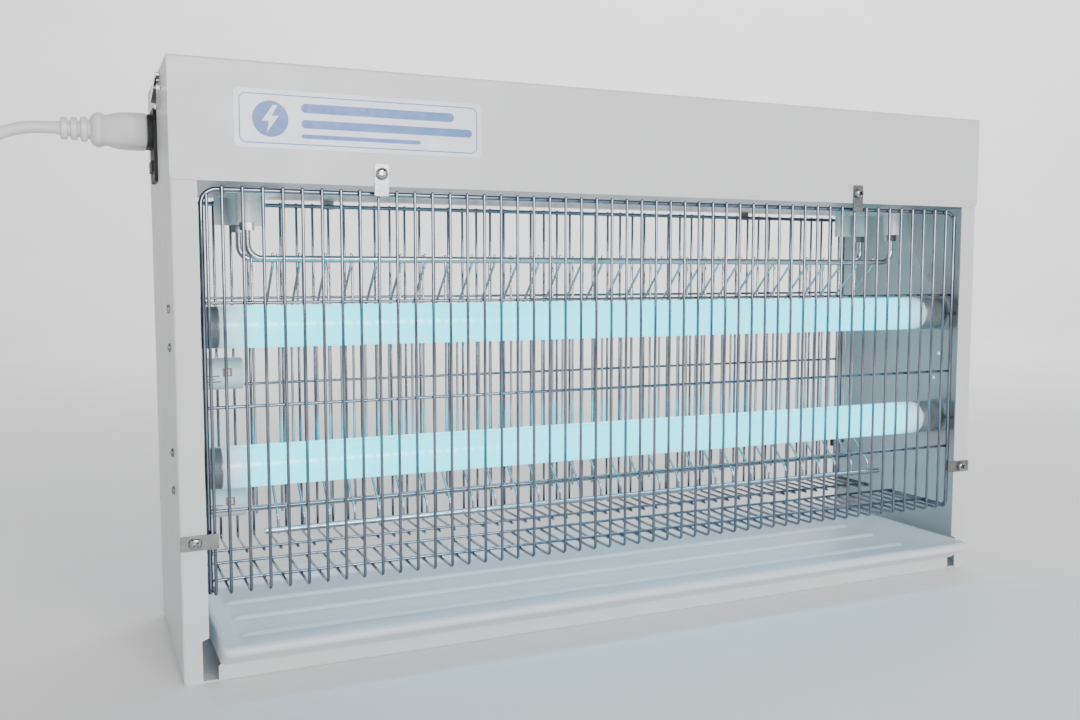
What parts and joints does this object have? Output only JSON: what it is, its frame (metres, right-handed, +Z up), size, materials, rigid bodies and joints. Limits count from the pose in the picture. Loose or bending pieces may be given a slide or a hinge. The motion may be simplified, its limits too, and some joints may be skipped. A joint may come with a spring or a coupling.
{
  "type": "electric bug zapper",
  "caption": "Sheet-steel insect killer: lit tubes before a high-voltage wire grid, wire guards front and rear, a slide-out catch tray and a coiled mains lead.",
  "frame": {"origin": "middle of the underside of the base pan", "axes": "+X along the lamps to the right seen from the front, -Y towards the front, +Z up"},
  "size_m": [0.8678, 0.2403, 0.367],
  "materials": {
    "painted_steel": "satin powder coat",
    "galvanised": "dull zinc",
    "label_film": "printed film, semi gloss",
    "chrome_wire": "polished nickel-chrome",
    "screw_steel": "bright zinc",
    "clip_steel": "bright stamped steel",
    "grid_steel": "bright drawn wire",
    "insulator": "moulded thermoset",
    "lamp_glass": "frosted lit glass, opaque phosphor",
    "lamp_cap": "bright drawn aluminium",
    "holder_plastic": "moulded",
    "starter_plastic": "moulded",
    "tray_plastic": "smooth moulded",
    "inlet_plastic": "fine texture",
    "contact_brass": "nickel-washed",
    "drawer_plastic": "fine texture",
    "fuse_glass": "clear with caps",
    "bezel_chrome": "polished",
    "rocker_plastic": "gloss",
    "core_steel": "varnished laminations",
    "coil_tape": "wrapped tape",
    "ballast_steel": "plain paint",
    "terminal_plastic": "moulded",
    "lead_pvc": "PVC sleeve",
    "grommet_rubber": "moulded rubber",
    "cord_pvc": "white PVC",
    "connector_pvc": "white moulded PVC",
    "tie_fabric": "hook-and-loop strap"
  },
  "bodies": {
    "housing": {"side_panel_left": "painted_steel", "side_panel_right": "painted_steel", "base_pan": "painted_steel", "hood_shelf": "galvanised", "hood_cover": "painted_steel", "hood_screws": "screw_steel", "label_plate": "label_film", "front_guard_frame": "chrome_wire", "front_guard_wires": "chrome_wire", "front_guard_floor": "chrome_wire", "rear_guard_frame": "chrome_wire", "rear_guard_wires": "chrome_wire", "rear_guard_floor": "chrome_wire", "clip_screws": "screw_steel", "grid_insulators": "insulator", "grid_nuts": "screw_steel", "upper_grid_rods": "grid_steel", "lower_grid_rods": "grid_steel", "rear_grid_wires": "grid_steel", "front_grid_wires": "grid_steel", "lampholders_left": "holder_plastic", "lampholders_right": "holder_plastic", "lampholder_screws": "screw_steel", "starter_holders": "holder_plastic", "power_inlet": "inlet_plastic", "inlet_pins": "contact_brass", "switch_bezel": "bezel_chrome", "transformer_core": "core_steel", "transformer_coil": "coil_tape", "ballast_left": "ballast_steel", "ballast_right": "ballast_steel", "terminal_block": "terminal_plastic", "wiring": "lead_pvc", "grommets": "grommet_rubber", "mains_connector": "connector_pvc", "cord_tube": "cord_pvc", "cord_coil": "cord_pvc", "cord_tie": "tie_fabric", "mains_plug": "connector_pvc", "plug_pins": "contact_brass"},
    "tray": {"catch_tray": "tray_plastic"},
    "lamp_upper": {"tube_upper_glass": "lamp_glass", "tube_upper_caps": "lamp_cap", "tube_upper_rotors": "holder_plastic"},
    "lamp_lower": {"tube_lower_glass": "lamp_glass", "tube_lower_caps": "lamp_cap", "tube_lower_rotors": "holder_plastic"},
    "upper_starter": {"starter_upper": "starter_plastic"},
    "lower_starter": {"starter_lower": "starter_plastic"},
    "fuse_carrier": {"fuse_drawer": "drawer_plastic", "fuse": "fuse_glass"},
    "power_rocker": {"switch_rocker": "rocker_plastic"},
    "clip_front_top_left": {"guard_clip_front_top_left": "clip_steel"},
    "clip_front_top_right": {"guard_clip_front_top_right": "clip_steel"},
    "clip_front_left": {"guard_clip_front_left": "clip_steel"},
    "clip_front_right": {"guard_clip_front_right": "clip_steel"},
    "clip_rear_top_left": {"guard_clip_rear_top_left": "clip_steel"},
    "clip_rear_top_right": {"guard_clip_rear_top_right": "clip_steel"},
    "clip_rear_left": {"guard_clip_rear_left": "clip_steel"},
    "clip_rear_right": {"guard_clip_rear_right": "clip_steel"}
  },
  "joints": [
    {"name": "tray_slide", "type": "slide", "parent": "housing", "child": "tray", "axis": [0, -1, 0], "range_m": [0, 0.12]},
    {"name": "lamp_upper_turn", "type": "hinge", "parent": "housing", "child": "lamp_upper", "pos_m": [0, -0.048, 0.211], "axis": [1, 0, 0], "range_deg": [0, 90]},
    {"name": "lamp_lower_turn", "type": "hinge", "parent": "housing", "child": "lamp_lower", "pos_m": [0, -0.048, 0.1247], "axis": [1, 0, 0], "range_deg": [0, 90]},
    {"name": "starter_upper_turn", "type": "hinge", "parent": "housing", "child": "upper_starter", "pos_m": [-0.28, 0.012, 0.1773], "axis": [1, 0, 0], "range_deg": [0, 45]},
    {"name": "starter_lower_turn", "type": "hinge", "parent": "housing", "child": "lower_starter", "pos_m": [-0.28, 0.012, 0.0913], "axis": [1, 0, 0], "range_deg": [0, 45]},
    {"name": "fuse_slide", "type": "slide", "parent": "housing", "child": "fuse_carrier", "axis": [-1, 0, 0], "range_m": [0, 0.018]},
    {"name": "rocker_tilt", "type": "hinge", "parent": "housing", "child": "power_rocker", "pos_m": [-0.3095, -0.022, 0.354], "axis": [0, -1, 0], "range_deg": [0, 20]},
    {"name": "clip_front_top_left_turn", "type": "hinge", "parent": "housing", "child": "clip_front_top_left", "pos_m": [-0.1865, -0.07355, 0.3045], "axis": [0, 1, 0], "range_deg": [-90, 90]},
    {"name": "clip_front_top_right_turn", "type": "hinge", "parent": "housing", "child": "clip_front_top_right", "pos_m": [0.1865, -0.07355, 0.3045], "axis": [0, 1, 0], "range_deg": [-90, 90]},
    {"name": "clip_front_left_turn", "type": "hinge", "parent": "housing", "child": "clip_front_left", "pos_m": [-0.3015, -0.07255, 0.0854], "axis": [0, 1, 0], "range_deg": [-90, 90]},
    {"name": "clip_front_right_turn", "type": "hinge", "parent": "housing", "child": "clip_front_right", "pos_m": [0.3015, -0.07255, 0.0854], "axis": [0, 1, 0], "range_deg": [-90, 90]},
    {"name": "clip_rear_top_left_turn", "type": "hinge", "parent": "housing", "child": "clip_rear_top_left", "pos_m": [-0.1865, 0.07355, 0.3045], "axis": [0, 1, 0], "range_deg": [-90, 90]},
    {"name": "clip_rear_top_right_turn", "type": "hinge", "parent": "housing", "child": "clip_rear_top_right", "pos_m": [0.1865, 0.07355, 0.3045], "axis": [0, 1, 0], "range_deg": [-90, 90]},
    {"name": "clip_rear_left_turn", "type": "hinge", "parent": "housing", "child": "clip_rear_left", "pos_m": [-0.3015, 0.07255, 0.0854], "axis": [0, 1, 0], "range_deg": [-90, 90]},
    {"name": "clip_rear_right_turn", "type": "hinge", "parent": "housing", "child": "clip_rear_right", "pos_m": [0.3015, 0.07255, 0.0854], "axis": [0, 1, 0], "range_deg": [-90, 90]}
  ]
}
